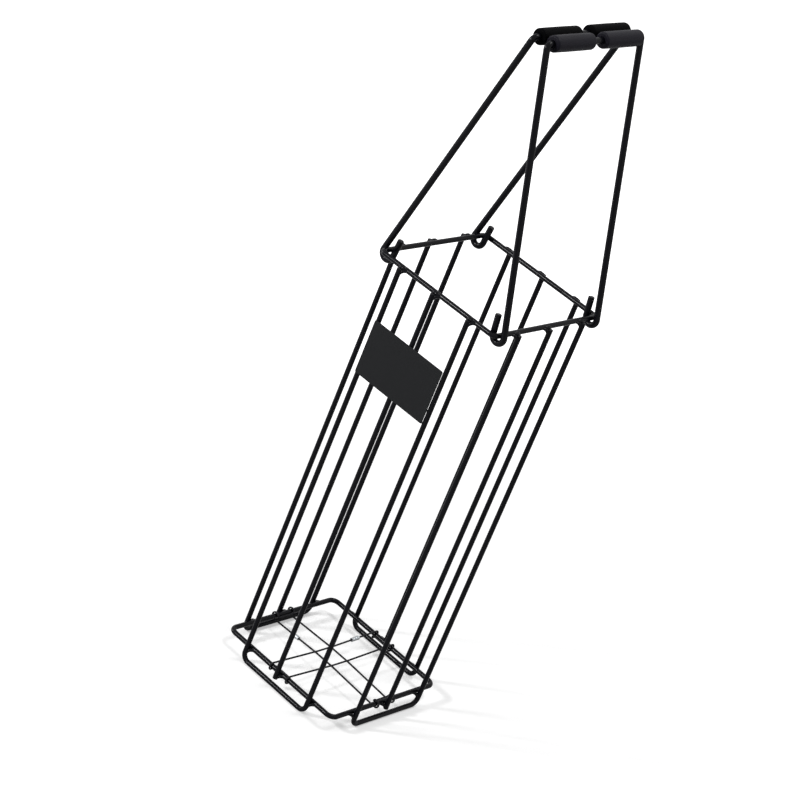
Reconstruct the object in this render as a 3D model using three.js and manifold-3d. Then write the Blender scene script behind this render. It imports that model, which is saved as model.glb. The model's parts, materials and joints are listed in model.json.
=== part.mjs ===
// Ball pick-up basket: an upright square cage of black coated steel wire, with two wire
// handles hooked over its rim and a net of elastic cord across its open base, which balls
// are pushed up through. Lengths are in millimetres and +Z is up. The origin is on the
// ground under the middle of the basket. The front side, with the plate, faces -Y.

import * as THREE from "three";
import { mergeVertices } from "three/addons/utils/BufferGeometryUtils.js";
import Module from "manifold-3d";

const wasm = await Module();
wasm.setup();

// Cage, measured between the wires' centre lines
const cageWidth = 126; // left to right
const cageDepth = 131; // front to back
const cageHeight = 373; // base ring up to the rim
const rimCornerRadius = 5;
const baseCornerRadius = 6.5;
const barDiameter = 4.4; // rim and base ring wire
const rodDiameter = 4.4; // upright wire
const seatGap = 0.3; // left between pieces that touch
const frontRodSpacing = 76.2; // between the outer rods of the front, and of the back
const frontRodShift = 0.7; // of these four towards the right
const sideRodSpacing = 82.2; // between the outer rods of the left side, and of the right
const sideRodShift = 1.5; // of these four towards the back
const rodRise = 0.3; // of the rods' cut tops above the rim's centre line
const stubDrop = 4.4; // of the middle rods' cut ends below the base ring's centre line
const footDrop = 10.8; // from the base ring down to the foot bars
const footBendRadius = 6.5;

// Weld fillets, on one flank of each rod where it crosses a bar
const filletReach = 5.2; // along the bar, from the rod's flank
const filletHeight = 5.5; // down the rod
const filletEdge = 0.9; // height left at the thin end
const filletThickness = 3;

// Plate on the front rods
const plateWidth = 76.4;
const plateHeight = 48.7;
const plateThickness = 0.8;
const plateCornerRadius = 1.5;
const plateDrop = 47.5; // from the rim's centre line down to its top edge
const plateShift = 0.5; // towards the left

// Handles
const handleDiameter = 5.3;
const legSpacing = 119; // between the two legs' centre lines, at the grips
const handleHeight = 232.75; // from the hooks' lowest centre line up to the grips' axis
const handleBendRadius = 4;
const stubHeight = 22.6; // of a hook's cut end above its lowest centre line
const pinchAngle = THREE.MathUtils.degToRad(9); // of a hook's free end towards its leg
const leftSlack = 4.2; // of the left handle's hooks, hanging below a snug seat on their bar
const rightSlack = 0.9;
const leftHookShift = 5; // of the left handle's front hook along its bar, towards the middle
const restShift = 4.15; // towards the left, of the place where the two handles lean together

// Foam grips, two on each handle
const gripDiameter = 13.3;
const gripLength = 47.3;
const gripSpacing = 14.4; // between the two grips' ends
const gripEdgeRadius = 1.5;
const gripShift = 1.2; // of the pair towards the back

// Elastic cord net
const cordDiameter = 1.6;
const hitchSpacing = 20; // between a loop's two strands
const hitchBendRadius = 2.5; // where a strand's turn round the bar runs into its bight
const ferruleLength = 9;
const ferruleWall = 0.8;

// Facets
const wireSides = 12;
const cordSides = 8;
const gripSides = 24;
const bendStep = THREE.MathUtils.degToRad(15);
const hitchStep = THREE.MathUtils.degToRad(30);
const edgeSteps = 3;
const coincidence = 0.001; // points closer than this are one point

// Places worked out from the sizes. A wire's section has a flat underneath, and the foot
// bars' flats lie on the ground.
const flatShare = Math.cos(Math.PI / wireSides);
const rodOffset = barDiameter / 2 + seatGap + rodDiameter / 2; // out from the bars
const footLevel = (rodDiameter / 2) * flatShare;
const baseLevel = footLevel + footDrop;
const rimLevel = baseLevel + cageHeight;
const hookSeat = barDiameter / 2 + seatGap + handleDiameter / 2; // from the bar's centre line to the leg's
const hookDepth = hookSeat + Math.max(leftSlack, rightSlack); // of the handle that hangs lower
const hookWidth = hookSeat + (hookSeat + hookDepth * Math.sin(pinchAngle)) / Math.cos(pinchAngle);
const hookBendRadius = hookWidth / (1 + Math.tan(Math.PI / 4 + pinchAngle / 2));
const restReach = (gripDiameter + seatGap) / 2; // from that place to each grip's axis
const plateSeat = cageDepth / 2 + rodOffset + rodDiameter / 2 + seatGap; // the plate's back
const frontReach = plateSeat + plateThickness;
const backReach = cageDepth / 2 + rodOffset + (rodDiameter / 2) * flatShare;

const point = (x, y, z) => new THREE.Vector3(x, y, z);
const directionTo = (from, to) => to.clone().sub(from).normalize();

// A wire's centre line as a list of stations, so that each step of a sweep is one station.
class WireLine extends THREE.Curve {
  constructor(stations) {
    super();
    this.stations = stations;
    this.steps = stations.length - 1;
  }

  getPoint(t, target = new THREE.Vector3()) {
    return target.copy(this.stations[Math.round(t * this.steps)].point);
  }

  getTangent(t, target = new THREE.Vector3()) {
    return target.copy(this.stations[Math.round(t * this.steps)].tangent);
  }

  getUtoTmapping(u) {
    return u;
  }
}

// A centre line that runs straight between corners and turns each one on an arc.
function bentLine(corners, bendRadii) {
  const last = corners.length - 1;
  const stations = [{ point: corners[0], tangent: directionTo(corners[0], corners[1]) }];
  for (let i = 1; i < last; i += 1) {
    const arriving = directionTo(corners[i - 1], corners[i]);
    const leaving = directionTo(corners[i], corners[i + 1]);
    const turn = arriving.angleTo(leaving);
    const axis = arriving.clone().cross(leaving).normalize();
    const inward = axis.clone().cross(arriving);
    const radius = bendRadii[i - 1];
    const start = corners[i].clone().addScaledVector(arriving, -radius * Math.tan(turn / 2));
    const centre = start.clone().addScaledVector(inward, radius);
    const steps = Math.ceil(turn / bendStep);
    for (let k = 0; k <= steps; k += 1) {
      const angle = (turn * k) / steps;
      const spoke = inward.clone().applyAxisAngle(axis, angle);
      const station = {
        point: centre.clone().addScaledVector(spoke, -radius),
        tangent: arriving.clone().applyAxisAngle(axis, angle),
      };
      const previous = stations[stations.length - 1];
      if (previous.point.distanceTo(station.point) > coincidence) stations.push(station);
    }
  }
  stations.push({ point: corners[last], tangent: directionTo(corners[last - 1], corners[last]) });
  return new WireLine(stations);
}

// A round wire's section, with flats that face along and across the plane it is bent in.
function wireSection(diameter, sides) {
  const shape = new THREE.Shape();
  for (let i = 0; i < sides; i += 1) {
    const angle = ((i + 1 / 2) / sides) * 2 * Math.PI;
    const x = (diameter / 2) * Math.cos(angle);
    const y = (diameter / 2) * Math.sin(angle);
    if (i === 0) shape.moveTo(x, y);
    else shape.lineTo(x, y);
  }
  return shape;
}

const openWire = (line, diameter) =>
  new THREE.ExtrudeGeometry(wireSection(diameter, wireSides), {
    extrudePath: line,
    steps: line.steps,
    bevelEnabled: false,
  });

const closedWire = (line, diameter, sides) =>
  new THREE.TubeGeometry(line, line.steps, diameter / 2, sides, true);

// Closed meshes as solids that can be joined and cut, and back again.
function weldedMesh(geometry) {
  const bare = geometry.clone();
  bare.deleteAttribute("normal");
  bare.deleteAttribute("uv");
  return mergeVertices(bare, coincidence);
}

function toSolid(geometry) {
  const merged = weldedMesh(geometry);
  const triangles = [];
  const index = merged.index.array;
  for (let i = 0; i < index.length; i += 3) {
    const [a, b, c] = index.slice(i, i + 3);
    if (a !== b && b !== c && c !== a) triangles.push(a, b, c);
  }
  return new wasm.Manifold(
    new wasm.Mesh({
      numProp: 3,
      vertProperties: new Float32Array(merged.attributes.position.array),
      triVerts: new Uint32Array(triangles),
    }),
  );
}

function toGeometry(solid) {
  const mesh = solid.getMesh();
  const geometry = new THREE.BufferGeometry();
  geometry.setAttribute("position", new THREE.BufferAttribute(mesh.vertProperties, 3));
  geometry.setIndex(new THREE.BufferAttribute(mesh.triVerts, 1));
  geometry.computeVertexNormals();
  return geometry;
}

// Finishes
const finishes = {
  coatedWire: { color: 0x1d1d20, roughness: 0.42, metalness: 0 },
  coatedSheet: { color: 0x18181a, roughness: 0.6, metalness: 0 },
  foam: { color: 0x2a292d, roughness: 0.85, metalness: 0 },
  elastic: { color: 0x151518, roughness: 0.8, metalness: 0 },
  zinc: { color: 0x9a9ca0, roughness: 0.4, metalness: 1 },
};

function piece(name, geometry, finish) {
  const mesh = new THREE.Mesh(geometry, new THREE.MeshStandardMaterial(finishes[finish]));
  mesh.name = name;
  return mesh;
}

// A level square ring of wire, joined end to end in the middle of its front.
function squareRing(level, cornerRadius) {
  const x = cageWidth / 2;
  const y = cageDepth / 2;
  const corners = [
    point(0, -y, level),
    point(x, -y, level),
    point(x, y, level),
    point(-x, y, level),
    point(-x, -y, level),
    point(0, -y, level),
  ];
  const line = bentLine(corners, Array(4).fill(cornerRadius));
  return weldedMesh(closedWire(line, barDiameter, wireSides));
}

// Weld metal that fills the corner between a rod's flank and the bar it crosses. It lies
// in the rods' plane, outside the bar, flush with the rods' cut tops. Its lower edge is a
// hollow quarter of an ellipse.
function weldFillet(rodX, away, level, flank) {
  const reach = rodDiameter / 2 + filletReach;
  const shape = new THREE.Shape();
  shape.moveTo(0, rodRise);
  shape.lineTo(flank * reach, rodRise);
  shape.lineTo(flank * reach, -filletEdge);
  const radiusX = filletReach;
  const radiusY = filletHeight - filletEdge;
  const hollow = new THREE.EllipseCurve(
    flank * reach,
    -filletHeight,
    radiusX,
    radiusY,
    Math.PI / 2,
    flank > 0 ? Math.PI : 0,
    flank < 0,
  );
  hollow.getPoints(edgeSteps + 1).forEach((spot) => shape.lineTo(spot.x, spot.y));
  shape.lineTo(0, -filletHeight);
  const geometry = new THREE.ExtrudeGeometry(shape, {
    depth: filletThickness,
    bevelEnabled: false,
  });
  geometry.rotateX(Math.PI / 2);
  geometry.translate(rodX, -away + filletThickness / 2, level);
  return toSolid(geometry);
}

function withFillets(line, rodPlaces, away, flank) {
  let solid = toSolid(openWire(line, rodDiameter));
  for (const rodX of rodPlaces) {
    for (const level of [rimLevel, baseLevel]) {
      solid = solid.add(weldFillet(rodX, away, level, flank));
    }
  }
  return toGeometry(solid);
}

// One side of the cage, drawn as the front and turned into place: a hairpin of wire whose
// two uprights are the outer rods and whose bottom is a foot bar, and a middle rod that
// stops just below the base ring.
function cageSide({ name, quarterTurns, across, rodSpacing, rodShift, flank }) {
  const away = across / 2 + rodOffset;
  const outerRods = [rodShift - rodSpacing / 2, rodShift + rodSpacing / 2];
  const top = rimLevel + rodRise;
  const hairpin = bentLine(
    [
      point(outerRods[0], -away, top),
      point(outerRods[0], -away, footLevel),
      point(outerRods[1], -away, footLevel),
      point(outerRods[1], -away, top),
    ],
    [footBendRadius, footBendRadius],
  );
  const middle = bentLine([point(0, -away, top), point(0, -away, baseLevel - stubDrop)], []);
  const side = new THREE.Group();
  side.rotation.z = (quarterTurns * Math.PI) / 2;
  side.add(
    piece(`${name}_hairpin`, withFillets(hairpin, outerRods, away, flank), "coatedWire"),
    piece(`${name}_middle_rod`, withFillets(middle, [0], away, flank), "coatedWire"),
  );
  return side;
}

function labelPlate() {
  const x = plateWidth / 2;
  const y = plateHeight / 2;
  const r = plateCornerRadius;
  const shape = new THREE.Shape();
  shape.moveTo(-x + r, -y);
  shape.lineTo(x - r, -y);
  shape.absarc(x - r, -y + r, r, -Math.PI / 2, 0);
  shape.absarc(x - r, y - r, r, 0, Math.PI / 2);
  shape.absarc(-x + r, y - r, r, Math.PI / 2, Math.PI);
  shape.absarc(-x + r, -y + r, r, Math.PI, (3 * Math.PI) / 2);
  const geometry = new THREE.ExtrudeGeometry(shape, {
    depth: plateThickness,
    bevelEnabled: false,
    curveSegments: edgeSteps,
  });
  const plate = piece("label_plate", toGeometry(toSolid(geometry)), "coatedSheet");
  plate.rotation.x = Math.PI / 2;
  plate.position.set(-plateShift, -plateSeat, rimLevel - plateDrop - y);
  return plate;
}

// The handle's centre line, upright, with the rim bar along the Y axis through the origin:
// a hook's free end inside the cage, under the bar, up the outside, across, and back down.
// The free ends are pinched in over the bar, so that the handle can't drop off it.
function handleLine(slack, firstHookShift) {
  const y = legSpacing / 2;
  const bottom = -hookSeat - slack;
  const leg = -hookSeat;
  const foot = leg + hookWidth;
  const stub = foot - stubHeight * Math.tan(pinchAngle);
  const corners = [
    point(stub, firstHookShift - y, bottom + stubHeight),
    point(foot, firstHookShift - y, bottom),
    point(leg, firstHookShift - y, bottom),
    point(leg, -y, bottom + handleHeight),
    point(leg, y, bottom + handleHeight),
    point(leg, y, bottom),
    point(foot, y, bottom),
    point(stub, y, bottom + stubHeight),
  ];
  const hook = [hookBendRadius, hookBendRadius];
  return bentLine(corners, [...hook, handleBendRadius, handleBendRadius, ...hook]);
}

// A foam sleeve round the handle's cross bar, which is rise above the rim bar. The handle's
// own line, swept a little wider, cuts its bore.
function gripSleeve(line, rise, startY) {
  const r = gripDiameter / 2;
  const e = gripEdgeRadius;
  const profile = new THREE.Path();
  profile.moveTo(0, 0);
  profile.lineTo(r - e, 0);
  profile.absarc(r - e, e, e, -Math.PI / 2, 0);
  profile.lineTo(r, gripLength - e);
  profile.absarc(r - e, gripLength - e, e, 0, Math.PI / 2);
  profile.lineTo(0, gripLength);
  const outside = new THREE.LatheGeometry(profile.getPoints(edgeSteps), gripSides);
  outside.translate(-hookSeat, startY, rise);
  const bore = toSolid(openWire(line, handleDiameter + 2 * seatGap));
  return toGeometry(toSolid(outside).subtract(bore));
}

// A handle hangs by its hooks from a side bar of the rim and leans in over the cage, until
// its grips' axis is reach in from that bar. The right one is turned half round.
function handle({ name, hingeX, reach, slack, firstHookShift, halfTurns }) {
  const toBack = halfTurns ? -1 : 1;
  const line = handleLine(slack, firstHookShift);
  const rise = handleHeight - hookSeat - slack;
  const pairLength = 2 * gripLength + gripSpacing;
  const pairStart = toBack * gripShift - pairLength / 2;
  const starts = [pairStart, pairStart + gripLength + gripSpacing];
  if (halfTurns) starts.reverse();
  const lean = Math.asin(reach / Math.hypot(rise, hookSeat)) + Math.atan2(hookSeat, rise);
  const group = new THREE.Group();
  group.position.set(hingeX, 0, rimLevel);
  group.rotation.set(0, halfTurns ? -lean : lean, halfTurns * Math.PI);
  group.add(
    piece(`${name}_handle_wire`, weldedMesh(openWire(line, handleDiameter)), "coatedWire"),
    piece(`${name}_front_grip`, gripSleeve(line, rise, starts[0]), "foam"),
    piece(`${name}_back_grip`, gripSleeve(line, rise, starts[1]), "foam"),
  );
  return group;
}

// One end of a cord loop, hitched round a bar that lies along X through the origin, with
// the net towards +Y. The cord comes in along the bar's face at angle 0, goes round the
// outside, and turns on an arc into a bight along the inside, all on a cylinder one cord
// radius clear of the bar. The list stops at the bight's first end.
function hitchPoints(radius, face) {
  const half = hitchSpacing / 2;
  const bightAngle = (3 * Math.PI) / 2;
  const turnAngle = bightAngle - hitchBendRadius / radius;
  const onBar = (angle, x) =>
    point(x, -radius * Math.sin(angle), face * radius * Math.cos(angle));
  const turns = Math.ceil(turnAngle / hitchStep);
  const round = Array.from({ length: turns + 1 }, (_, i) =>
    onBar((turnAngle * i) / turns, half),
  );
  const bendSteps = Math.ceil(Math.PI / 2 / hitchStep);
  const bend = Array.from({ length: bendSteps }, (_, i) => {
    const angle = ((i + 1) / bendSteps) * (Math.PI / 2);
    return onBar(
      turnAngle + (hitchBendRadius * Math.sin(angle)) / radius,
      half - hitchBendRadius * (1 - Math.cos(angle)),
    );
  });
  return [...round, ...bend];
}

const cordOffset = barDiameter / 2 + seatGap + cordDiameter / 2; // from a bar's centre line
const crossingRise = (cordDiameter + seatGap) / 2; // where the two loops' strands cross

// An elastic loop stretched between two opposite bars of the base ring. It lies over the
// bars with face 1 and under them with face -1, and its strands cross the other loop's.
function cordLoop(span, face) {
  const flip = (points, x, y) => points.map((p) => point(x * p.x, y * p.y, p.z));
  const place = (points, y) => points.map((p) => point(p.x, p.y + y, p.z));
  const hitch = hitchPoints(cordOffset, face);
  const back = flip(hitch, 1, -1);
  const crossing = (x, y) => point(x, y, face * crossingRise);
  const half = hitchSpacing / 2;
  const points = [
    ...place(hitch, -span / 2),
    ...place(flip(hitch, -1, 1).reverse(), -span / 2),
    crossing(-half, -half),
    crossing(-half, half),
    ...place(flip(back, -1, 1), span / 2),
    ...place(back.slice().reverse(), span / 2),
    crossing(half, half),
    crossing(half, -half),
  ];
  const count = points.length;
  const stations = points.map((p, i) => ({
    point: p,
    tangent: directionTo(points[(i + count - 1) % count], points[(i + 1) % count]),
  }));
  return weldedMesh(closedWire(new WireLine([...stations, stations[0]]), cordDiameter, cordSides));
}

// The crimped metal tube that joins the ends of a loop's cord, half way along a strand.
function ferrule(name, span, face) {
  const inner = cordDiameter / 2 + seatGap;
  const outer = inner + ferruleWall;
  const h = ferruleLength / 2;
  const half = hitchSpacing / 2;
  const profile = [
    new THREE.Vector2(inner, -h),
    new THREE.Vector2(outer, -h),
    new THREE.Vector2(outer, h),
    new THREE.Vector2(inner, h),
    new THREE.Vector2(inner, -h),
  ];
  const tube = piece(name, weldedMesh(new THREE.LatheGeometry(profile, wireSides)), "zinc");
  const from = point(-half, half, face * crossingRise);
  const to = point(-half, span / 2, face * cordOffset);
  tube.position.copy(from).lerp(to, 1 / 2);
  tube.quaternion.setFromUnitVectors(point(0, 1, 0), directionTo(from, to));
  return tube;
}

function net(name, span, face, quarterTurns) {
  const group = new THREE.Group();
  group.position.z = baseLevel;
  group.rotation.z = (quarterTurns * Math.PI) / 2;
  group.add(
    piece(`${name}_cord_loop`, cordLoop(span, face), "elastic"),
    ferrule(`${name}_cord_ferrule`, span, face),
  );
  return group;
}

const basket = new THREE.Group();
basket.position.y = (frontReach - backReach) / 2; // the plate makes the front reach further
basket.add(
  piece("rim_ring", squareRing(rimLevel, rimCornerRadius), "coatedWire"),
  piece("base_ring", squareRing(baseLevel, baseCornerRadius), "coatedWire"),
);

const frontAndBack = { across: cageDepth, rodSpacing: frontRodSpacing, flank: 1 };
const leftAndRight = { across: cageWidth, rodSpacing: sideRodSpacing, flank: -1 };
const sides = [
  { name: "front", quarterTurns: 0, rodShift: frontRodShift, ...frontAndBack },
  { name: "right", quarterTurns: 1, rodShift: sideRodShift, ...leftAndRight },
  { name: "back", quarterTurns: 2, rodShift: -frontRodShift, ...frontAndBack },
  { name: "left", quarterTurns: 3, rodShift: -sideRodShift, ...leftAndRight },
];
sides.forEach((side) => basket.add(cageSide(side)));

const hingeX = cageWidth / 2;
basket.add(
  labelPlate(),
  net("front_back", cageDepth, 1, 0),
  net("left_right", cageWidth, -1, 1),
  handle({
    name: "left",
    hingeX: -hingeX,
    reach: hingeX - restShift - restReach,
    slack: leftSlack,
    firstHookShift: leftHookShift,
    halfTurns: 0,
  }),
  handle({
    name: "right",
    hingeX,
    reach: hingeX + restShift - restReach,
    slack: rightSlack,
    firstHookShift: 0,
    halfTurns: 1,
  }),
);

export default basket;
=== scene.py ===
# Looks of a ball pick-up basket: black coated steel wire, foam grips and an elastic cord net.
# Lengths are in metres and +Z is up. The front side, with the plate, faces -Y.

import json
import math

import bpy
import numpy as np
from mathutils import Matrix, Vector


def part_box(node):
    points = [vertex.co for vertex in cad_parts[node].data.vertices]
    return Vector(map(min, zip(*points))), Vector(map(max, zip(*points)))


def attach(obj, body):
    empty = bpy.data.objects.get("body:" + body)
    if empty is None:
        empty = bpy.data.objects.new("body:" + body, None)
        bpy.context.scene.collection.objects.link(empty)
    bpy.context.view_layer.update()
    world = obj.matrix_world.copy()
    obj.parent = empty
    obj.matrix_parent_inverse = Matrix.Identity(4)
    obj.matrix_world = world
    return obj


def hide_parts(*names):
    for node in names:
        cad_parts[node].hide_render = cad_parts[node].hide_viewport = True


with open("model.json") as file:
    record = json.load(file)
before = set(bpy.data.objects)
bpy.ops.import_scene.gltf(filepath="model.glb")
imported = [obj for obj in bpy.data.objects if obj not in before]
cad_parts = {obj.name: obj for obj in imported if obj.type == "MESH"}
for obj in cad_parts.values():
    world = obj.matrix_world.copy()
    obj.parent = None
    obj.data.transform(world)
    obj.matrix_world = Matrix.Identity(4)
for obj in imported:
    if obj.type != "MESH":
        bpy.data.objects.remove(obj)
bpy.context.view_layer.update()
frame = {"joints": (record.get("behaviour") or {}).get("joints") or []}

MM = 0.001

# Camera, at the photograph's viewing angle
CAMERA_AIM = (-0.02526, -0.01632, 0.26166)
CAMERA_DISTANCE = 2.31788
CAMERA_AZIMUTH = math.radians(32.866)
CAMERA_ELEVATION = math.radians(26.459)
CAMERA_ROLL = math.radians(22.471)
CAMERA_LENS = 129.165  # on Blender's 36 sensor
CAMERA_FAR = 50.0

# The cage's wire
BAR = 4.4 * MM  # rim and base ring
ROD = 4.4 * MM
RIM_CORNER = 5.0 * MM
BASE_CORNER = 6.5 * MM
FOOT_BEND = 6.5 * MM
STUB_DROP = 4.4 * MM  # of the middle rods' ends below the base ring's centre line
SEAT_GAP = 0.3 * MM
ROD_EDGE = 0.5 * MM  # rounding of a sheared and coated rod's end

# Weld metal: a bead under each ring, and a lump on the rim at each rod's top
BEAD_REACH = 5.2 * MM  # along the bar, from the rod's flank
BEAD_HEIGHT = 5.5 * MM  # down the rod
BEAD_EDGE = 0.9 * MM  # of its far end below the bar's centre line
BEAD_TUCK = 0.75  # of the way from the rod's plane to the bar's, at its far end
BEAD_END_WIDTH = 0.45 * MM  # half its width at its two ends
BEAD_END_DEPTH = 0.5 * MM  # half its thickness there
BEAD_MORE_WIDTH = 1.0 * MM  # more of the first in its middle
BEAD_MORE_DEPTH = 1.3 * MM  # more of the second
BEAD_RIPPLE = 0.05  # share of its width and thickness
BEAD_RIPPLES = 6
BEAD_STEPS = 19
BEAD_SIDES = 16
LUMP_REACH = (4.4 * MM, 1.6 * MM, 1.7 * MM)
LUMP_SHIFT = 0.8 * MM  # from the rod's centre line towards its weld
LUMP_RAISE = 0.7 * MM  # above the rim's centre line
LUMP_SWELL = 0.12
LUMP_ROWS = 11
LUMP_SIDES = 20

# The plate and its tacks
PLATE_CORNER = 1.5 * MM
PLATE_EDGE = 0.25 * MM
TACK_REACH = (0.9 * MM, 1.1 * MM, 1.2 * MM)
TACK_LEVELS = (1.3 * MM, 12.5 * MM)  # above the plate's lower edge
TACK_OUT = 0.3 * MM  # past its right edge
TACK_BACK = 0.5 * MM  # behind its back

# Handles
HANDLE = 5.3 * MM
HANDLE_EDGE = 0.8 * MM
HANDLE_BEND = 4.0 * MM
HANDLE_RISE = 232.75 * MM  # from the hooks' lowest centre line up to the grips' axis
LEG_SPACING = 119.0 * MM
HOOK_SEAT = BAR / 2 + SEAT_GAP + HANDLE / 2
HOOK_DROP = 4.2 * MM  # of the hooks that hang lowest, below a snug seat on their bar
HOOK_PINCH = math.radians(9)  # of a hook's free end towards its leg
HOOK_END = 22.6 * MM  # its cut end above its lowest centre line
LEFT_HOOK_SHIFT = 5.0 * MM  # of the left handle's front hook along its bar

# Foam grips
GRIP_EDGE = 1.5 * MM
GRIP_LIP = 0.25 * MM  # bevel at the mouth of the bore
GRIP_BORE_GAP = 0.15 * MM
GRIP_SWELL = 0.12 * MM
GRIP_STEPS = 40
GRIP_SIDES = 64

# The net and its ferrules
CORD = 1.6 * MM
CORD_SIDES = 20
HITCH_BEND = 2.5 * MM
HITCH_STEPS = 10
YARN = 0.6 * MM
YARNS_ROUND = 8
FERRULE = 9.0 * MM
FERRULE_WALL = 0.8 * MM
FERRULE_CRIMP = 0.4 * MM  # depth of its pinches
FERRULE_EDGE = 0.2 * MM
FERRULE_STEPS = 49

# The white round the basket
FILL = 0.3  # the world's strength as light on the object
NEAR_GLOW = 0.4  # the floor's strength round the basket's foot, and 1 further out
GLOW_START = 0.3  # from the middle of the foot
GLOW_END = 0.9
FLOOR_REACH = 6.0
WHITE = (1.0, 1.0, 1.0, 1.0)

ARC_STEP = math.radians(5)
QUARTER_STEPS = 9  # points on a rounded corner or edge
END_STEPS = 6  # points on the rounding of a cut wire's end
WIRE_SIDES = 32
FLAT_SHARE = math.cos(math.pi / 12)  # of a CAD wire's radius, out to its flats
SAME_PLACE = 1e-7  # between two points that count as one
OFF_AXIS = (0.31, 0.53, 0.79)  # a direction that no wire starts in
SHARP_FROM = math.radians(38)
WAVE_TURN = 20  # radians that a wave texture turns for each unit at scale 1


def linear(code):
    """Linear RGBA of an sRGB hex value such as "#1b1b1e"."""
    channels = np.array([int(code[i : i + 2], 16) for i in (1, 3, 5)]) / 255
    light = np.where(channels <= 0.04045, channels / 12.92, ((channels + 0.055) / 1.055) ** 2.4)
    return (*light, 1.0)


def unit(vector):
    """A vector over its length."""
    return vector / np.linalg.norm(vector)


def bent_path(corners, radii, closed=False):
    """Straight runs joined by arcs. At a corner with bend angle b and radius r the arc starts
    r tan(b/2) before the corner, and its points are c + r(sin a * arriving - cos a * inward)."""
    corners = [np.array(c, float) for c in corners]
    points = [] if closed else [corners[0]]
    count = len(corners)
    for i in range(count) if closed else range(1, count - 1):
        arriving = unit(corners[i] - corners[i - 1])
        leaving = unit(corners[(i + 1) % count] - corners[i])
        radius = radii[i] if closed else radii[i - 1]
        turn = math.acos(np.clip(arriving @ leaving, -1, 1))
        inward = unit(leaving - arriving * (arriving @ leaving))
        start = corners[i] - arriving * radius * math.tan(turn / 2)
        angles = np.linspace(0, turn, math.ceil(turn / ARC_STEP) + 1)[:, None]
        centre = start + radius * inward
        points.extend(centre + radius * (np.sin(angles) * arriving - np.cos(angles) * inward))
    if not closed:
        points.append(corners[-1])
    points = np.array(points)
    steps = np.linalg.norm(np.diff(points, axis=0), axis=1)
    return points[np.concatenate([[True], steps > SAME_PLACE])]


def carried_frames(path, closed):
    """Normals n and b along a path with tangents t: each n is the one before it less its share
    along t, b is t x n, and a loop's leftover twist is shared out evenly."""
    if closed:
        tangents = np.roll(path, -1, 0) - np.roll(path, 1, 0)
    else:
        tangents = np.gradient(path, axis=0)
    tangents /= np.linalg.norm(tangents, axis=1)[:, None]
    first = unit(np.cross(tangents[0], OFF_AXIS))
    normals = [first]
    for tangent in tangents[1:]:
        normals.append(unit(normals[-1] - tangent * (normals[-1] @ tangent)))
    normals = np.array(normals)
    if closed:
        back = unit(normals[-1] - tangents[0] * (normals[-1] @ tangents[0]))
        twist = math.atan2(np.cross(back, first) @ tangents[0], back @ first)
        share = (np.arange(len(path)) / len(path) * twist)[:, None]
        side = np.cross(tangents, normals)
        normals = normals * np.cos(share) + side * np.sin(share)
    return normals, np.cross(tangents, normals)


def round_angles(sides):
    """Angles of equal steps round a circle, the last one a step short of the first."""
    return np.arange(sides) / sides * 2 * math.pi


def grid_faces(rows, columns, wrap_rows=False):
    """Four-sided faces of a grid whose columns wrap round, and whose rows may."""
    i = np.arange(rows if wrap_rows else rows - 1)[:, None]
    j = np.arange(columns)[None, :]
    below, right = (i + 1) % rows, (j + 1) % columns
    quads = np.stack(
        [i * columns + j, i * columns + right, below * columns + right, below * columns + j], -1
    )
    return quads.reshape(-1, 4).tolist()


def capped_faces(rows, sides):
    """A grid's faces, and a flat cap over its first ring and its last."""
    last = (rows - 1) * sides
    caps = [list(range(sides))[::-1], list(range(last, last + sides))]
    return grid_faces(rows, sides) + caps


def turned_over(faces):
    """The same faces, seen from their other side."""
    return [face[::-1] for face in faces]


def tube(path, radii, sides, closed=False):
    """Round sections carried along a path: point + r(cos a * n + sin a * b). Open ends get
    flat caps. Returns vertices and faces."""
    normals, sideways = carried_frames(path, closed)
    angles = round_angles(sides)[:, None]
    radii = np.broadcast_to(radii, len(path))[:, None, None]
    ring = np.cos(angles) * normals[:, None] + np.sin(angles) * sideways[:, None]
    faces = grid_faces(len(path), sides, True) if closed else capped_faces(len(path), sides)
    return (path[:, None] + radii * ring).reshape(-1, 3), faces


def cut_wire(corners, radii, diameter, edge):
    """A bent wire whose two cut ends have a rounded edge e: at e(1 - sin a) from the end its
    radius is r - e(1 - cos a)."""
    path = bent_path(corners, radii)
    turn = np.linspace(math.pi / 2, 0, END_STEPS)[:, None]
    into, narrower = edge * (1 - np.sin(turn)), edge * (1 - np.cos(turn[:, 0]))
    head = path[0] + unit(path[1] - path[0]) * into
    tail = path[-1] + unit(path[-2] - path[-1]) * into[::-1]
    widths = np.full(len(path) - 2, diameter / 2)
    widths = np.concatenate([diameter / 2 - narrower, widths, diameter / 2 - narrower[::-1]])
    return tube(np.vstack([head, path[1:-1], tail]), widths, WIRE_SIDES)


def joined(shells):
    """Several shells' vertices and faces as one mesh's."""
    vertices, faces, start = [], [], 0
    for points, polygons in shells:
        vertices.append(points)
        faces.extend([[k + start for k in polygon] for polygon in polygons])
        start += len(points)
    return np.vstack(vertices), faces


def add_piece(name, shell, material, body, replaced):
    """A smooth shaded object at the origin from vertices and faces, riding on a body."""
    vertices, faces = shell
    mesh = bpy.data.meshes.new(name)
    mesh.from_pydata(vertices.tolist(), [], faces)
    mesh.shade_smooth()
    mesh.set_sharp_from_angle(angle=SHARP_FROM)
    mesh.materials.append(material)
    piece = bpy.data.objects.new(name, mesh)
    bpy.context.scene.collection.objects.link(piece)
    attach(piece, body)
    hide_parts(*replaced)
    return piece


def quarter_turned(points, turns):
    """Points turned about Z by quarter turns."""
    c, s = round(math.cos(turns * math.pi / 2)), round(math.sin(turns * math.pi / 2))
    return np.asarray(points) @ np.array([[c, s, 0], [-s, c, 0], [0, 0, 1]])


def box_of(node, turns=0):
    """A node's lowest and highest corners, seen from a side that is turned to the front."""
    corners = quarter_turned([list(c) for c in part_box(node)], -turns)
    return corners.min(0), corners.max(0)


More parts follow.
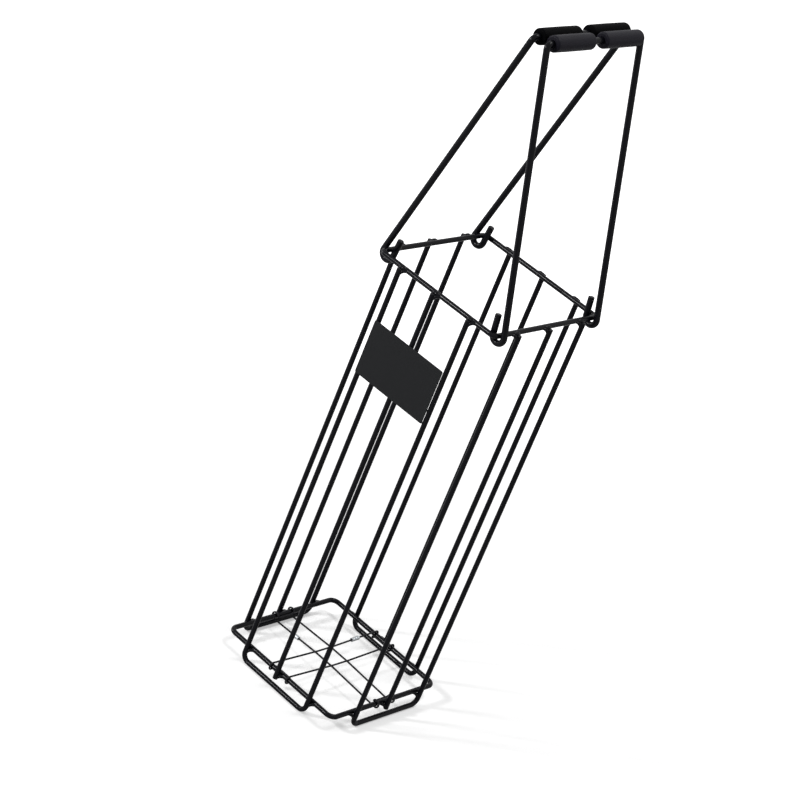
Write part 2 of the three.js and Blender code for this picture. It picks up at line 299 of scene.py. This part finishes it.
def add_node(tree, kind, inputs=(), **settings):
    """A shader node with its settings, and values or links for its inputs."""
    made = tree.nodes.new(kind)
    for name, value in settings.items():
        setattr(made, name, value)
    for name, value in dict(inputs).items():
        if isinstance(value, bpy.types.NodeSocket):
            tree.links.new(value, made.inputs[name])
        else:
            made.inputs[name].default_value = value
    return made


def new_material(name):
    """An empty Principled material, its node tree and its surface node."""
    material = bpy.data.materials.new(name)
    material.use_nodes = True
    return material, material.node_tree, material.node_tree.nodes["Principled BSDF"]


def grain_scale(size):
    """The noise scale whose grains are about that size in metres."""
    return 1 / size


def powder_coat():
    """Satin powder coat, baked on steel wire: a near black with a soft gloss that a fine orange
    peel breaks up, and slightly duller where the powder lay thicker."""
    material, tree, surface = new_material("satin_black_powder_coat")
    place = add_node(tree, "ShaderNodeTexCoord").outputs["Object"]
    patches = add_node(
        tree,
        "ShaderNodeTexNoise",
        {"Vector": place, "Scale": grain_scale(18 * MM), "Detail": 3.0, "Roughness": 0.6},
    )
    dull = add_node(
        tree,
        "ShaderNodeMapRange",
        {
            "Value": patches.outputs["Fac"],
            "From Min": 0.3,
            "From Max": 0.7,
            "To Min": 0.19,
            "To Max": 0.27,
        },
    )
    tone = add_node(
        tree,
        "ShaderNodeMix",
        {"Factor": patches.outputs["Fac"], "A": linear("#07070b"), "B": linear("#0e0e14")},
        data_type="RGBA",
    )
    peel = add_node(
        tree,
        "ShaderNodeTexNoise",
        {"Vector": place, "Scale": grain_scale(1.3 * MM), "Detail": 2.0, "Roughness": 0.45},
    )
    bump = add_node(
        tree,
        "ShaderNodeBump",
        {"Height": peel.outputs["Fac"], "Strength": 0.06, "Distance": 0.02 * MM},
    )
    tree.links.new(tone.outputs["Result"], surface.inputs["Base Color"])
    tree.links.new(dull.outputs["Result"], surface.inputs["Roughness"])
    tree.links.new(bump.outputs["Normal"], surface.inputs["Normal"])
    surface.inputs["IOR"].default_value = 1.2
    return material


def plate_coat():
    """Matt powder coat on sheet steel: flatter than the wire's, with a fine even grain."""
    material, tree, surface = new_material("matt_black_powder_coat")
    place = add_node(tree, "ShaderNodeTexCoord").outputs["Object"]
    patches = add_node(
        tree,
        "ShaderNodeTexNoise",
        {"Vector": place, "Scale": grain_scale(25 * MM), "Detail": 4.0, "Roughness": 0.6},
    )
    tone = add_node(
        tree,
        "ShaderNodeMix",
        {"Factor": patches.outputs["Fac"], "A": linear("#101113"), "B": linear("#141517")},
        data_type="RGBA",
    )
    grain = add_node(
        tree,
        "ShaderNodeTexNoise",
        {"Vector": place, "Scale": grain_scale(0.5 * MM), "Detail": 2.0, "Roughness": 0.5},
    )
    bump = add_node(
        tree,
        "ShaderNodeBump",
        {"Height": grain.outputs["Fac"], "Strength": 0.3, "Distance": 0.05 * MM},
    )
    tree.links.new(tone.outputs["Result"], surface.inputs["Base Color"])
    tree.links.new(bump.outputs["Normal"], surface.inputs["Normal"])
    surface.inputs["Roughness"].default_value = 0.65
    surface.inputs["IOR"].default_value = 1.25
    return material


def foam(name, dark, light, gloss):
    """Closed-cell rubber foam, extruded and sliced: soft and dull, with fine pits where cells
    broke through its skin."""
    material, tree, surface = new_material(name)
    place = add_node(tree, "ShaderNodeTexCoord").outputs["Object"]
    cells = add_node(
        tree,
        "ShaderNodeTexVoronoi",
        {"Vector": place, "Scale": grain_scale(0.7 * MM), "Randomness": 1.0},
    )
    skin = add_node(
        tree,
        "ShaderNodeTexNoise",
        {"Vector": place, "Scale": grain_scale(6 * MM), "Detail": 4.0, "Roughness": 0.6},
    )
    height = add_node(
        tree,
        "ShaderNodeMath",
        {0: cells.outputs["Distance"], 1: skin.outputs["Fac"]},
        operation="ADD",
    )
    bump = add_node(
        tree,
        "ShaderNodeBump",
        {"Height": height.outputs["Value"], "Strength": 0.35, "Distance": 0.15 * MM},
    )
    tone = add_node(
        tree,
        "ShaderNodeMix",
        {"Factor": skin.outputs["Fac"], "A": linear(dark), "B": linear(light)},
        data_type="RGBA",
    )
    tree.links.new(tone.outputs["Result"], surface.inputs["Base Color"])
    tree.links.new(bump.outputs["Normal"], surface.inputs["Normal"])
    surface.inputs["Roughness"].default_value = 0.5
    surface.inputs["IOR"].default_value = gloss
    return material


def elastic():
    """Polyester braided over a rubber core: two sets of yarns 0.6 mm wide that wind round the
    cord in opposite directions. The UV map is in yarns along and round the cord. Each wave
    turns by pi for each yarn along or round, which is pi sqrt 2 for each unit on the slant."""
    material, tree, surface = new_material("braided_elastic")
    place = add_node(tree, "ShaderNodeUVMap", uv_map="yarns").outputs["UV"]
    windings = []
    for slant in (1, -1):
        turned = add_node(
            tree,
            "ShaderNodeMapping",
            {"Vector": place, "Rotation": (0, 0, slant * math.pi / 4)},
        )
        winding = add_node(
            tree,
            "ShaderNodeTexWave",
            {"Vector": turned.outputs["Vector"], "Scale": math.pi * math.sqrt(2) / WAVE_TURN},
        )
        windings.append(winding.outputs["Fac"])
    over = add_node(
        tree, "ShaderNodeMath", {0: windings[0], 1: windings[1]}, operation="MAXIMUM"
    )
    bump = add_node(
        tree,
        "ShaderNodeBump",
        {"Height": over.outputs["Value"], "Strength": 1.0, "Distance": 0.1 * MM},
    )
    tone = add_node(
        tree,
        "ShaderNodeMix",
        {"Factor": over.outputs["Value"], "A": linear("#060607"), "B": linear("#1c1c20")},
        data_type="RGBA",
    )
    tree.links.new(tone.outputs["Result"], surface.inputs["Base Color"])
    tree.links.new(bump.outputs["Normal"], surface.inputs["Normal"])
    surface.inputs["Roughness"].default_value = 0.7
    surface.inputs["IOR"].default_value = 1.3
    return material


def zinc():
    """Zinc plated steel, crimped: a pale grey metal, clouded in tone and in roughness."""
    material, tree, surface = new_material("zinc_plated_steel")
    place = add_node(tree, "ShaderNodeTexCoord").outputs["Object"]
    cloud = add_node(
        tree,
        "ShaderNodeTexNoise",
        {"Vector": place, "Scale": grain_scale(2 * MM), "Detail": 3.0},
    )
    dull = add_node(
        tree,
        "ShaderNodeMapRange",
        {"Value": cloud.outputs["Fac"], "To Min": 0.25, "To Max": 0.5},
    )
    tone = add_node(
        tree,
        "ShaderNodeMix",
        {"Factor": cloud.outputs["Fac"], "A": linear("#9aa0a6"), "B": linear("#b9bbbb")},
        data_type="RGBA",
    )
    tree.links.new(tone.outputs["Result"], surface.inputs["Base Color"])
    tree.links.new(dull.outputs["Result"], surface.inputs["Roughness"])
    surface.inputs["Metallic"].default_value = 1.0
    return material


WIRE_COAT = powder_coat()
PLATE_COAT = plate_coat()
# Both handles' grips are the same foam. The left handle's grips get painted shade: a darker
# colour, and a lower IOR that dims their reflections
FOAM = {
    "left": foam("closed_cell_foam_painted_shade", "#040405", "#08080a", 1.06),
    "right": foam("charcoal_closed_cell_foam", "#0b0a12", "#110f1a", 1.2),
}
ELASTIC = elastic()
ZINC = zinc()


def square_ring(node, corner):
    """A level ring of wire, from its node's box."""
    low, high = box_of(node)
    x0, y0 = low[:2] + BAR / 2
    x1, y1 = high[:2] - BAR / 2
    z = (low[2] + high[2]) / 2
    corners = [(x0, y0, z), (x1, y0, z), (x1, y1, z), (x0, y1, z)]
    return tube(bent_path(corners, [corner] * 4, closed=True), BAR / 2, WIRE_SIDES, closed=True)


def weld_bead(x, rod_y, bar_y, level, flank, height):
    """Weld metal in the corner between a rod's flank and the underside of the bar behind it.
    Its free edge is a hollow quarter ellipse: (x + f(r + a - a cos t), level - h + (h - e) sin t).
    Rounded sections lie inside that edge, rippled along it, fatter in the middle by
    sin(2t)^0.8, and further back towards the bar by (t over a quarter turn)^1.5."""
    turn = np.linspace(0, math.pi / 2, BEAD_STEPS)
    reach_x, reach_z = BEAD_REACH, height - BEAD_EDGE
    outward = np.stack([-np.cos(turn) / reach_x, np.zeros_like(turn), np.sin(turn) / reach_z], 1)
    outward /= np.linalg.norm(outward, axis=1)[:, None]
    belly = np.sin(2 * turn) ** 0.8
    half = (BEAD_END_WIDTH + BEAD_MORE_WIDTH * belly)[:, None]
    thick = (BEAD_END_DEPTH + BEAD_MORE_DEPTH * belly)[:, None]
    ripple = 1 + BEAD_RIPPLE * np.sin(4 * BEAD_RIPPLES * turn)[:, None]
    edge_x = ROD / 2 + reach_x * (1 - np.cos(turn))
    edge_y = rod_y + (bar_y - rod_y) * BEAD_TUCK * (turn / turn[-1]) ** 1.5
    edge_z = -height + reach_z * np.sin(turn)
    centre = np.stack([edge_x, edge_y, edge_z], 1) + outward * half
    angles = round_angles(BEAD_SIDES)
    points = centre[:, None] - outward[:, None] * (half * np.cos(angles) * ripple)[..., None]
    points[..., 1] += thick * np.sin(angles) * ripple
    points[..., 0] *= flank
    points += (x, 0, level)
    faces = capped_faces(BEAD_STEPS, BEAD_SIDES)
    return points.reshape(-1, 3), faces if flank > 0 else turned_over(faces)


def weld_lump(place, reach):
    """A small lump of weld metal: a point at angles a round and b up lies at reach, times
    (cos a cos b, sin a cos b, sin b), swollen by 12% where sin 3a cos 2b is high."""
    up = np.linspace(-math.pi / 2, math.pi / 2, LUMP_ROWS + 2)[1:-1, None]
    angles = round_angles(LUMP_SIDES)
    swell = 1 + LUMP_SWELL * np.sin(3 * angles) * np.cos(2 * up)
    points = np.stack(
        [
            swell * np.cos(angles) * np.cos(up),
            swell * np.sin(angles) * np.cos(up),
            swell * np.sin(up),
        ],
        2,
    )
    vertices = np.vstack([points.reshape(-1, 3), [(0, 0, -1), (0, 0, 1)]])
    south, north, last = len(vertices) - 2, len(vertices) - 1, (LUMP_ROWS - 1) * LUMP_SIDES
    j = np.arange(LUMP_SIDES)
    after = (j + 1) % LUMP_SIDES
    faces = grid_faces(LUMP_ROWS, LUMP_SIDES)
    faces += np.stack([j, after, np.full_like(j, south)], 1).tolist()
    faces += np.stack([last + after, last + j, np.full_like(j, north)], 1).tolist()
    return vertices * reach + place, faces


def build_side(name, turns, flank):
    """One side of the cage: a hairpin of wire with a foot bar, and the middle rod. Each rod is
    welded to both rings at the same flank."""
    low, high = box_of(f"{name}_hairpin", turns)
    middle_low, middle_high = box_of(f"{name}_middle_rod", turns)
    rim_low, rim_high = box_of("rim_ring", turns)
    base_low, base_high = box_of("base_ring", turns)
    rim_z = (rim_low[2] + rim_high[2]) / 2
    base_z = (base_low[2] + base_high[2]) / 2
    bar_y = rim_low[1] + BAR / 2
    y = (low[1] + high[1]) / 2
    clean = ROD / 2 * FLAT_SHARE
    welded = ROD / 2 + BEAD_REACH
    x0 = low[0] + (clean if flank > 0 else welded)
    x1 = high[0] - (welded if flank > 0 else clean)
    middle_x = (middle_low[0] + clean) if flank > 0 else (middle_high[0] - clean)
    top, foot, stub = high[2], low[2] + ROD / 2, base_z - STUB_DROP
    hairpin = cut_wire(
        [(x0, y, top), (x0, y, foot), (x1, y, foot), (x1, y, top)], [FOOT_BEND] * 2, ROD, ROD_EDGE
    )
    middle_rod = cut_wire([(middle_x, y, top), (middle_x, y, stub)], [], ROD, ROD_EDGE)
    for part, wire, places, base_height in (
        ("hairpin", hairpin, [x0, x1], BEAD_HEIGHT),
        ("middle_rod", middle_rod, [middle_x], STUB_DROP),
    ):
        shells = [wire]
        for x in places:
            lump = (x + flank * LUMP_SHIFT, (y + bar_y) / 2, rim_z + LUMP_RAISE)
            shells += [
                weld_lump(lump, LUMP_REACH),
                weld_bead(x, y, bar_y, rim_z, flank, BEAD_HEIGHT),
                weld_bead(x, y, bar_y, base_z, flank, base_height),
            ]
        vertices, faces = joined(shells)
        add_piece(
            f"{name}_{part}_wire",
            (quarter_turned(vertices, turns), faces),
            WIRE_COAT,
            "frame",
            [f"{name}_{part}"],
        )


def build_plate():
    """The bare plate: a sheet whose outline turns by r(cos a, sin a) round four corner centres,
    with r smaller by the inset on its front and its back. Two tacks stand at its right edge."""
    low, high = box_of("label_plate")
    left, right = low[0] + PLATE_CORNER, high[0] - PLATE_CORNER
    lower, upper = low[2] + PLATE_CORNER, high[2] - PLATE_CORNER
    centre_x = np.array([right, right, left, left])[:, None]
    centre_z = np.array([lower, upper, upper, lower])[:, None]
    starts = np.array([-1, 0, 1, 2])[:, None] * math.pi / 2
    angles = starts + np.linspace(0, math.pi / 2, QUARTER_STEPS)
    rows = []
    for inset, y in (
        (PLATE_EDGE, low[1]),
        (0, low[1] + PLATE_EDGE),
        (0, high[1] - PLATE_EDGE),
        (PLATE_EDGE, high[1]),
    ):
        radius = PLATE_CORNER - inset
        x, z = centre_x + radius * np.cos(angles), centre_z + radius * np.sin(angles)
        rows.append(np.stack([x, np.full_like(x, y), z], -1).reshape(-1, 3))
    sheet = np.vstack(rows), turned_over(capped_faces(len(rows), angles.size))
    tacks = [
        weld_lump((high[0] + TACK_OUT, high[1] + TACK_BACK, low[2] + level), TACK_REACH)
        for level in TACK_LEVELS
    ]
    plate = joined([sheet, *tacks])
    add_piece("plate", plate, PLATE_COAT, "frame", ["label_plate"])


def leaned(points, hinge, lean):
    """Points of an upright handle turned about the Y axis through its hinge."""
    c, s = math.cos(lean), math.sin(lean)
    return np.asarray(points) @ np.array([[c, 0, -s], [0, 1, 0], [s, 0, c]]) + hinge


def build_grip(name, body, material):
    """A foam sleeve: a profile of places y and radii r revolved to (r cos a, y, r sin a) about
    its middle. Its outside swells by s sin(pi t) from end to end, its ends have rounded edges,
    and its bore stands a hair off the wire."""
    low, high = box_of(name)
    centre = (low + high) / 2
    radius = (high[2] - low[2]) / 2 - GRIP_SWELL
    bore = HANDLE / 2 + GRIP_BORE_GAP
    quarter = np.linspace(0, math.pi / 2, QUARTER_STEPS)
    into, narrower = GRIP_EDGE * (1 - np.sin(quarter)), GRIP_EDGE * (1 - np.cos(quarter))
    front = np.stack([low[1] + into, radius - narrower], 1)[::-1]
    back = np.stack([high[1] - into, radius - narrower], 1)
    along = np.linspace(low[1] + GRIP_EDGE, high[1] - GRIP_EDGE, GRIP_STEPS)[1:-1]
    share = (along - low[1]) / (high[1] - low[1])
    side = np.stack([along, radius + GRIP_SWELL * np.sin(share * math.pi)], 1)
    mouth = [(low[1] + GRIP_LIP, bore), (low[1], bore + GRIP_LIP)]
    far_mouth = [(high[1], bore + GRIP_LIP), (high[1] - GRIP_LIP, bore)]
    profile = np.vstack([mouth, front, side, back, far_mouth])
    angles = round_angles(GRIP_SIDES)
    x = centre[0] + profile[:, 1:] * np.cos(angles)
    y = np.broadcast_to(profile[:, :1], x.shape)
    z = centre[2] + profile[:, 1:] * np.sin(angles)
    vertices = np.stack([x, y, z], -1).reshape(-1, 3)
    faces = turned_over(grid_faces(len(profile), GRIP_SIDES, True))
    grip = add_piece(f"{name}_foam", (vertices, faces), material, body, [name])


def build_handle(name, inward, front_shift):
    """A handle wire from hook to hook, leaning in until its grips lie where the CAD's do. Each
    hook passes under the bar, and its free end is pinched in over it."""
    body = f"{name}_handle"
    hinge = np.array(next(j["pos_m"] for j in frame["joints"] if j["child"] == body))
    low, high = box_of(f"{name}_front_grip")
    grip = (low + high) / 2
    away, up = abs(grip[0] - hinge[0]), grip[2] - hinge[2]
    rise = math.sqrt(away**2 + up**2 - HOOK_SEAT**2)
    lean = (math.atan2(away, up) + math.atan2(HOOK_SEAT, rise)) * inward
    depth = HOOK_SEAT + HOOK_DROP
    width = HOOK_SEAT + (HOOK_SEAT + depth * math.sin(HOOK_PINCH)) / math.cos(HOOK_PINCH)
    bend = width / (1 + math.tan(math.pi / 4 + HOOK_PINCH / 2))
    leg, foot, bottom = -HOOK_SEAT, width - HOOK_SEAT, rise - HANDLE_RISE
    end = foot - HOOK_END * math.tan(HOOK_PINCH)
    far = LEG_SPACING / 2
    near = front_shift - far
    corners = [
        (end, near, bottom + HOOK_END),
        (foot, near, bottom),
        (leg, near, bottom),
        (leg, -far, rise),
        (leg, far, rise),
        (leg, far, bottom),
        (foot, far, bottom),
        (end, far, bottom + HOOK_END),
    ]
    turned = leaned(np.array(corners) * (inward, 1, 1), hinge, lean)
    radii = [bend, bend, HANDLE_BEND, HANDLE_BEND, bend, bend]
    wire = cut_wire(turned, radii, HANDLE, HANDLE_EDGE)
    replaced = [f"{name}_handle_wire"]
    add_piece(f"{name}_handle_coated", wire, WIRE_COAT, body, replaced)
    build_grip(f"{name}_front_grip", body, FOAM[name])
    build_grip(f"{name}_back_grip", body, FOAM[name])


def cord_route(half, reach, face):
    """A loop hitched round two bars at y = -reach and reach. Each end comes in along the bar's
    face, goes round its outside, turns on an arc into a bight along its inside, and leaves the
    same way: on a cylinder of radius R, (x, -R sin a, face R cos a)."""
    radius = BAR / 2 + SEAT_GAP + CORD / 2
    rise = (CORD + SEAT_GAP) / 2
    turn = 3 * math.pi / 2 - HITCH_BEND / radius
    around = np.linspace(0, turn, math.ceil(turn / (2 * ARC_STEP)) + 1)
    bend = np.linspace(0, math.pi / 2, HITCH_STEPS)[1:]
    angle = np.concatenate([around, turn + HITCH_BEND * np.sin(bend) / radius])
    x = np.concatenate([np.full(len(around), half), half - HITCH_BEND * (1 - np.cos(bend))])
    quarter = np.stack([x, -radius * np.sin(angle) - reach, face * radius * np.cos(angle)], 1)
    left = quarter[::-1] * (-1, 1, 1)
    crossing = np.array([(-half, -half, face * rise), (-half, half, face * rise)])
    end = np.vstack([quarter, left])
    return np.vstack([end, crossing, (end * (1, -1, 1))[::-1], crossing[::-1] * (-1, 1, 1)])


def crimped_tube(start, end):
    """A ferrule half way along a strand. At v along it and a round it the outside is
    r - e |2v - 1|^40 - c sin(3 pi v)^2 cos(a)^2, so that its rims are eased and three pinches
    lie in a row. The bore is plain."""
    outer = CORD / 2 + SEAT_GAP + FERRULE_WALL
    axis = unit(end - start)
    side = unit(np.cross(axis, (0, 0, 1)))
    up = np.cross(side, axis)
    v = np.linspace(0, 1, FERRULE_STEPS)[:, None]
    a = round_angles(WIRE_SIDES)
    edge = FERRULE_EDGE * np.abs(2 * v - 1) ** 40
    outside = outer - edge - FERRULE_CRIMP * np.sin(3 * math.pi * v) ** 2 * np.cos(a) ** 2
    inside = np.full((2, WIRE_SIDES), outer - FERRULE_WALL)
    radius = np.vstack([outside, inside])
    along = (np.vstack([v, [[1.0], [0.0]]]) - 0.5) * FERRULE
    vertices = (start + end) / 2 + (
        along[..., None] * axis
        + (radius * np.cos(a))[..., None] * up
        + (radius * np.sin(a))[..., None] * side
    )
    return vertices.reshape(-1, 3), grid_faces(len(radius), WIRE_SIDES, True)


def build_net(name, turns, face):
    """One elastic loop and its ferrule. The loop's UV map counts yarns, along the route and
    eight round the cord."""
    low, high = box_of(f"{name}_cord_loop", turns)
    base_low, base_high = box_of("base_ring", turns)
    centre = (base_low + base_high) / 2
    half = (high[0] - low[0]) / 2 - CORD / 2
    reach = (base_high[1] - base_low[1]) / 2 - BAR / 2
    route = cord_route(half, reach, face) + centre
    vertices, faces = tube(route, CORD / 2, CORD_SIDES, closed=True)
    cord = add_piece(
        f"{name}_cord",
        (quarter_turned(vertices, turns), faces),
        ELASTIC,
        "frame",
        [f"{name}_cord_loop"],
    )
    steps = np.linalg.norm(np.roll(route, -1, 0) - route, axis=1)
    along = np.concatenate([[0], np.cumsum(steps)]) / YARN
    around = np.arange(CORD_SIDES + 1) / CORD_SIDES * YARNS_ROUND
    i, j = np.meshgrid(np.arange(len(route)), np.arange(CORD_SIDES), indexing="ij")
    corners = [(i, j), (i, j + 1), (i + 1, j + 1), (i + 1, j)]
    uv = np.stack([np.stack([along[a], around[b]], -1) for a, b in corners], 2)
    layer = cord.data.uv_layers.new(name="yarns")
    layer.data.foreach_set("uv", uv.reshape(-1))
    start = centre + (-half, half, face * (CORD + SEAT_GAP) / 2)
    end = centre + (-half, reach, face * (BAR / 2 + SEAT_GAP + CORD / 2))
    vertices, faces = crimped_tube(start, end)
    add_piece(
        f"{name}_ferrule",
        (quarter_turned(vertices, turns), faces),
        ZINC,
        "frame",
        [f"{name}_cord_ferrule"],
    )


for ring, corner in (("rim", RIM_CORNER), ("base", BASE_CORNER)):
    node = f"{ring}_ring"
    add_piece(f"{ring}_wire", square_ring(node, corner), WIRE_COAT, "frame", [node])
for side, turns, flank in (("front", 0, 1), ("right", 1, -1), ("back", 2, 1), ("left", 3, -1)):
    build_side(side, turns, flank)
build_plate()
build_handle("left", 1, LEFT_HOOK_SHIFT)
build_handle("right", -1, 0)
build_net("front_back", 0, 1)
build_net("left_right", 1, -1)


def build_floor():
    """A white floor. For the camera it glows, a little round the basket's foot so that its
    shadow stays, and as white as the world further out."""
    near, far = -FLOOR_REACH, FLOOR_REACH
    mesh = bpy.data.meshes.new("floor")
    mesh.from_pydata(
        [(near, near, 0), (far, near, 0), (far, far, 0), (near, far, 0)], [], [(0, 1, 2, 3)]
    )
    floor = bpy.data.objects.new("floor", mesh)
    bpy.context.scene.collection.objects.link(floor)
    material, tree, surface = new_material("white_floor")
    place = add_node(tree, "ShaderNodeTexCoord").outputs["Object"]
    away = add_node(tree, "ShaderNodeVectorMath", {"Vector": place}, operation="LENGTH")
    glow = add_node(
        tree,
        "ShaderNodeMapRange",
        {
            "Value": away.outputs["Value"],
            "From Min": GLOW_START,
            "From Max": GLOW_END,
            "To Min": NEAR_GLOW,
            "To Max": 1.0,
        },
        interpolation_type="SMOOTHSTEP",
    )
    rays = add_node(tree, "ShaderNodeLightPath")
    seen = add_node(
        tree,
        "ShaderNodeMath",
        {0: rays.outputs["Is Camera Ray"], 1: glow.outputs["Result"]},
        operation="MULTIPLY",
    )
    surface.inputs["Base Color"].default_value = linear("#e6e6e6")
    surface.inputs["Roughness"].default_value = 1.0
    surface.inputs["Specular IOR Level"].default_value = 0.0
    surface.inputs["Emission Color"].default_value = WHITE
    tree.links.new(seen.outputs["Value"], surface.inputs["Emission Strength"])
    mesh.materials.append(material)


def build_world():
    """White where the camera or a gloss sees it, and a dim fill light for the rest."""
    world = bpy.data.worlds.new("world")
    bpy.context.scene.world = world
    world.use_nodes = True
    tree = world.node_tree
    rays = add_node(tree, "ShaderNodeLightPath")
    seen = rays.outputs["Is Camera Ray"]
    for kind in ("Is Glossy Ray", "Is Transmission Ray"):
        either = add_node(
            tree, "ShaderNodeMath", {0: seen, 1: rays.outputs[kind]}, operation="MAXIMUM"
        )
        seen = either.outputs["Value"]
    strength = add_node(tree, "ShaderNodeMapRange", {"Value": seen, "To Min": FILL, "To Max": 1.0})
    background = tree.nodes["Background"]
    background.inputs["Color"].default_value = WHITE
    tree.links.new(strength.outputs["Result"], background.inputs["Strength"])


def add_lamp(name, place, aim, side, watts):
    """A square lamp at a place, turned so that it shines at its aim."""
    light = bpy.data.lights.new(name, "AREA")
    light.shape = "SQUARE"
    light.size = side
    light.energy = watts
    lamp = bpy.data.objects.new(name, light)
    lamp.location = place
    lamp.rotation_euler = (Vector(aim) - Vector(place)).to_track_quat("-Z", "Y").to_euler()
    bpy.context.scene.collection.objects.link(lamp)


def build_camera():
    """Looks at the aim from its azimuth and elevation, rolled about the line of sight."""
    a, e = CAMERA_AZIMUTH, CAMERA_ELEVATION
    back = Vector((math.sin(a) * math.cos(e), -math.cos(a) * math.cos(e), math.sin(e)))
    level = Vector((math.cos(a), math.sin(a), 0))
    right = level * math.cos(CAMERA_ROLL) + back.cross(level) * math.sin(CAMERA_ROLL)
    up = back.cross(right)
    camera = bpy.data.objects.new("camera", bpy.data.cameras.new("camera"))
    camera.data.lens = CAMERA_LENS
    camera.data.clip_end = CAMERA_FAR
    turn = Matrix((right, up, back)).transposed().to_4x4()
    camera.matrix_world = Matrix.Translation(Vector(CAMERA_AIM) + back * CAMERA_DISTANCE) @ turn
    bpy.context.scene.collection.objects.link(camera)
    bpy.context.scene.camera = camera


build_floor()
build_world()
build_camera()
add_lamp("key", place=(-1.12, -1.92, 1.38), aim=(0, 0, 0.3), side=0.25, watts=34)
add_lamp("overhead", place=(0.3, 0.6, 2.3), aim=(0, 0, 0.35), side=0.6, watts=17)
add_lamp("left", place=(-2.1, -0.8, 0.7), aim=(0, 0, 0.3), side=0.9, watts=16)
bpy.context.scene.view_settings.view_transform = "Standard"
